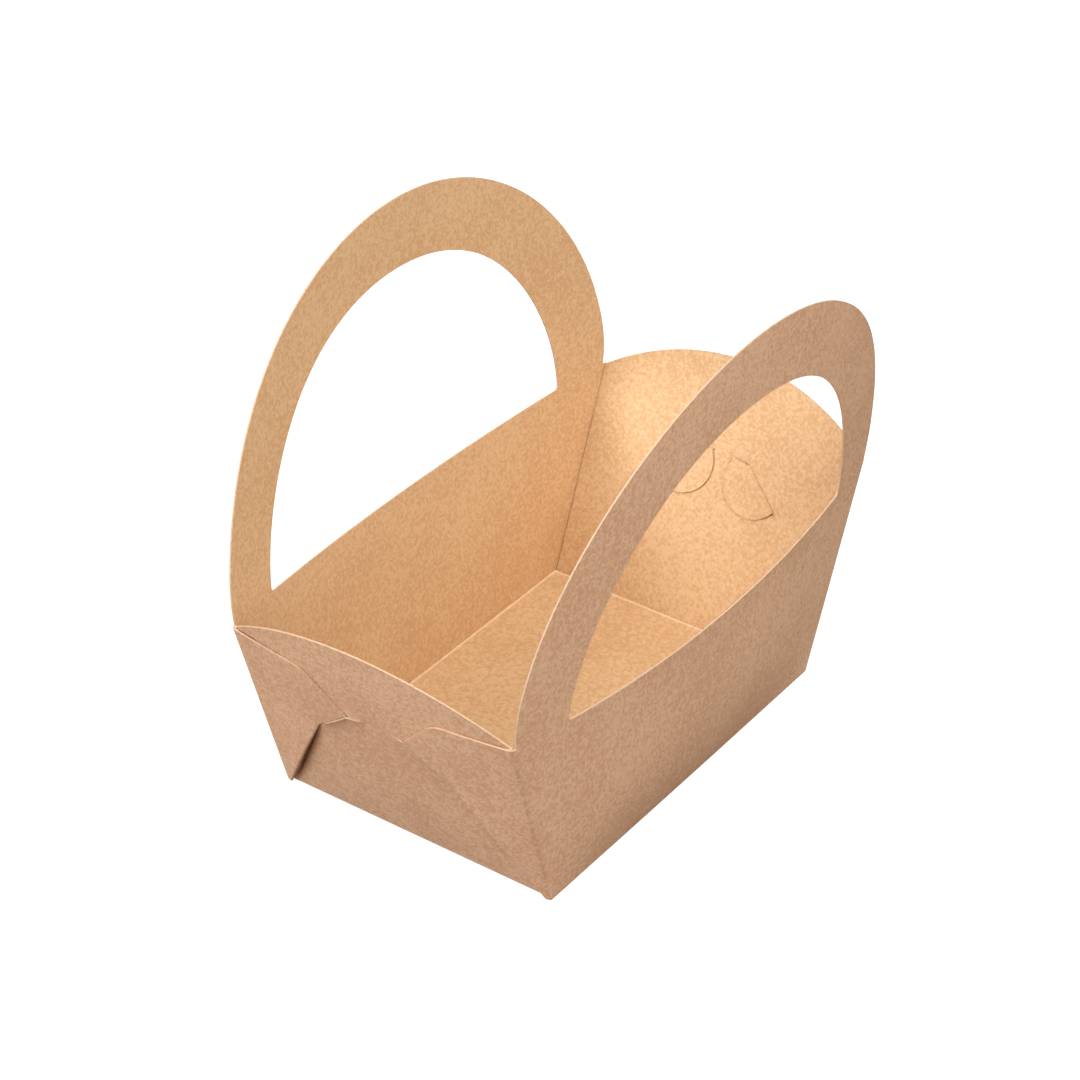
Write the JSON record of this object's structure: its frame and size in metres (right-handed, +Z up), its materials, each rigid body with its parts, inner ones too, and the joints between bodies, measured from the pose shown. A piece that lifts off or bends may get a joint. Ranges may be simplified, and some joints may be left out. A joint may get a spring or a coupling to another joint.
{
  "type": "paper food tray",
  "caption": "Folded kraft board food tray with arched side walls that rise into open carrying handles and leaning end walls locked by tabbed corner gussets.",
  "frame": {"origin": "centre of the base panel's underside, on the surface that the tray stands on", "axes": "+Z up; Y along the tray's length, between the leaning end walls; X across it, between the two handle walls"},
  "size_m": [0.1254, 0.2058, 0.1584],
  "materials": {
    "kraft_board": "matt uncoated brown kraft board with fine fibre mottling, a few dark specks and paler cut edges"
  },
  "bodies": {
    "root": {"tray": "kraft_board"}
  },
  "joints": []
}
